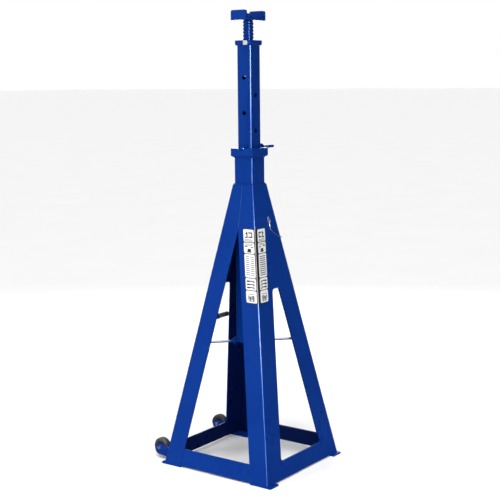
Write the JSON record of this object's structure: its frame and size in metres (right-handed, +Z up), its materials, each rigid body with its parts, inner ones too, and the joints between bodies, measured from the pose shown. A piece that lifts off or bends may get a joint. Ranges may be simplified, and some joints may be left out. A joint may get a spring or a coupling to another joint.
{
  "type": "axle jack stand",
  "caption": "Tall pyramid jack stand of folded sheet steel with a pinned telescoping mast, a screw-adjusted U saddle and rear wheels.",
  "frame": {"origin": "centre of the footprint of the whole stand, at floor level", "axes": "+Z up along the mast, +Y towards the side with the wheels, +X along the lock pin towards its handle"},
  "size_m": [0.592, 0.7162, 2.084],
  "materials": {
    "blue_paint": "gloss",
    "zinc_plate": "satin",
    "tyre_rubber": "matt",
    "wheel_hub": "satin",
    "grip_rubber": "matt",
    "label_film": "satin"
  },
  "bodies": {
    "frame": {"axle_bolt_left": "zinc_plate", "axle_bolt_right": "zinc_plate", "axle_nut_left": "zinc_plate", "axle_nut_right": "zinc_plate", "brace_front_left": "blue_paint", "brace_front_right": "blue_paint", "brace_rear_left": "blue_paint", "brace_rear_right": "blue_paint", "collar": "blue_paint", "crimp_lower": "zinc_plate", "eye_lower": "zinc_plate", "foot_pad_front_left": "blue_paint", "foot_pad_front_right": "blue_paint", "foot_pad_rear_left": "blue_paint", "foot_pad_rear_right": "blue_paint", "front_shell": "blue_paint", "handle_grip": "grip_rubber", "handle_rod": "blue_paint", "label_front": "label_film", "label_side": "label_film", "lanyard_tab": "blue_paint", "lanyard_wire": "zinc_plate", "left_rail": "blue_paint", "outer_tube": "blue_paint", "rear_shell": "blue_paint", "right_rail": "blue_paint", "wheel_bracket_left": "blue_paint", "wheel_bracket_right": "blue_paint"},
    "mast": {"inner_mast": "blue_paint", "mast_cap": "blue_paint"},
    "head": {"saddle": "blue_paint"},
    "screw": {"jack_screw": "blue_paint", "saddle_washer": "blue_paint", "saddle_nut": "blue_paint", "stop_washer": "zinc_plate", "stop_bolt": "zinc_plate"},
    "pin": {"lock_pin": "blue_paint", "pin_washer": "blue_paint", "pin_ring": "zinc_plate", "eye_upper": "zinc_plate", "crimp_upper": "zinc_plate"},
    "lock_bolt": {"lock_bolt": "zinc_plate"},
    "wheel_left": {"tyre_left": "tyre_rubber", "hub_left": "wheel_hub"},
    "wheel_right": {"tyre_right": "tyre_rubber", "hub_right": "wheel_hub"}
  },
  "joints": [
    {"name": "mast_lift", "type": "slide", "parent": "frame", "child": "mast", "axis": [0, 0, 1], "range_m": [0, 0.28]},
    {"name": "pin_pull", "type": "slide", "parent": "mast", "child": "pin", "axis": [1, 0, 0], "range_m": [0, 0.105]},
    {"name": "saddle_rise", "type": "slide", "parent": "mast", "child": "head", "axis": [0, 0, 1], "range_m": [-0.085, 0.12]},
    {"name": "screw_turn", "type": "hinge", "parent": "head", "child": "screw", "pos_m": [0, -0.04607, 2], "axis": [0, 0, 1], "range_deg": [-2050, 2890]},
    {"name": "lock_bolt_turn", "type": "hinge", "parent": "mast", "child": "lock_bolt", "pos_m": [-0.05017, -0.06685, 1.9405], "axis": [-0.9239, -0.3827, 0], "range_deg": [0, 720]},
    {"name": "wheel_left_spin", "type": "hinge", "parent": "frame", "child": "wheel_left", "pos_m": [-0.225, 0.31607, 0.05408], "axis": [1, 0, 0], "continuous": true},
    {"name": "wheel_right_spin", "type": "hinge", "parent": "frame", "child": "wheel_right", "pos_m": [0.225, 0.31607, 0.05408], "axis": [1, 0, 0], "continuous": true}
  ],
  "couplings": [
    {"joint": "screw_turn", "follows": "saddle_rise", "rad_per_m": 418.88}
  ]
}
